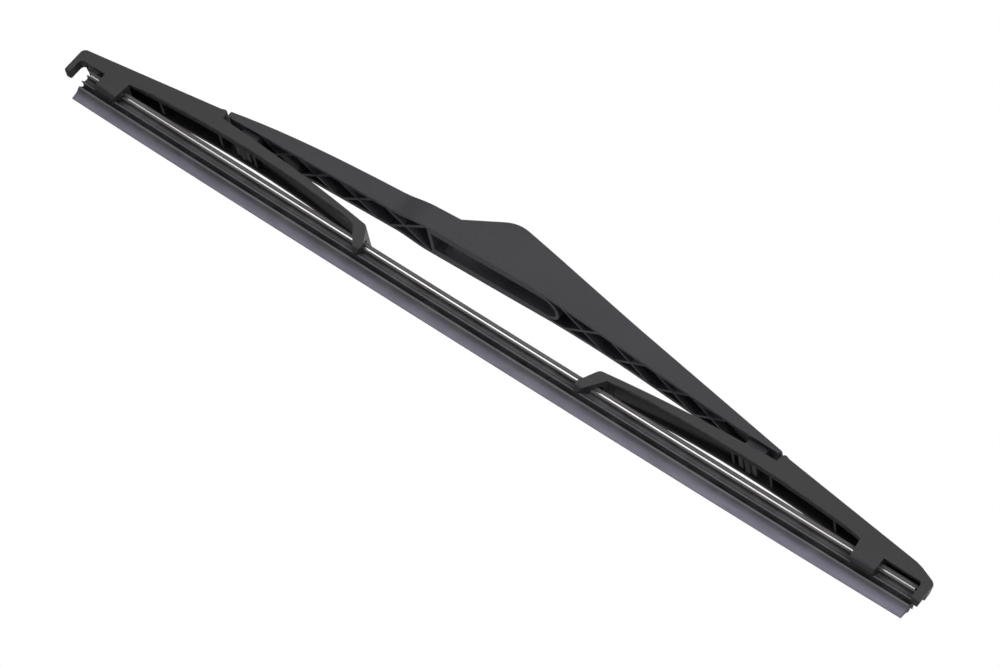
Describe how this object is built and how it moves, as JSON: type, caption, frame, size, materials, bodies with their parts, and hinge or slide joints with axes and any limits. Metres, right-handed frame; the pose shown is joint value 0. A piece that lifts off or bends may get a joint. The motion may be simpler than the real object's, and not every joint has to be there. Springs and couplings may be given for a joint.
{
  "type": "rear wiper blade",
  "caption": "Rear window wiper blade: ribbed moulded bridge with an arm pocket, rocking levers with claws, and a rubber strip stiffened by steel splines.",
  "frame": {"origin": "middle of the arm pin inside the pocket of the bridge, halfway between the two lever pivots", "axes": "+X along the blade towards the closed stop, +Y across it to the far side, +Z away from the glass; the wiping lip lies 34 mm below the origin"},
  "size_m": [0.3499, 0.017, 0.0423],
  "materials": {
    "bridge_plastic": "fine-grained matte black moulding",
    "lever_plastic": "satin black moulding",
    "strip_rubber": "matte dark grey rubber with a graphite sheen on the lip",
    "spline_steel": "bright rolled stainless strip"
  },
  "bodies": {
    "bridge": {"bridge": "bridge_plastic"},
    "left_lever": {"left_lever": "lever_plastic"},
    "strip": {"rubber_blade": "strip_rubber", "near_spline": "spline_steel", "far_spline": "spline_steel"},
    "right_lever": {"right_lever": "lever_plastic"}
  },
  "joints": [
    {"name": "left_pivot", "type": "hinge", "parent": "bridge", "child": "left_lever", "pos_m": [-0.104, 0, -0.0161], "axis": [0, -1, 0], "range_deg": [-3, 4]},
    {"name": "left_claw", "type": "hinge", "parent": "left_lever", "child": "strip", "pos_m": [-0.047, 0, -0.0161], "axis": [0, -1, 0], "range_deg": [-4, 3], "deforming": ["rubber_blade", "near_spline", "far_spline"]},
    {"name": "right_claw", "type": "hinge", "parent": "strip", "child": "right_lever", "pos_m": [0.047, 0, -0.0161], "axis": [0, -1, 0], "range_deg": [-4, 3]}
  ],
  "couplings": [
    {"joint": "left_claw", "follows": "left_pivot", "ratio": -1},
    {"joint": "right_claw", "follows": "left_pivot", "ratio": -1}
  ]
}
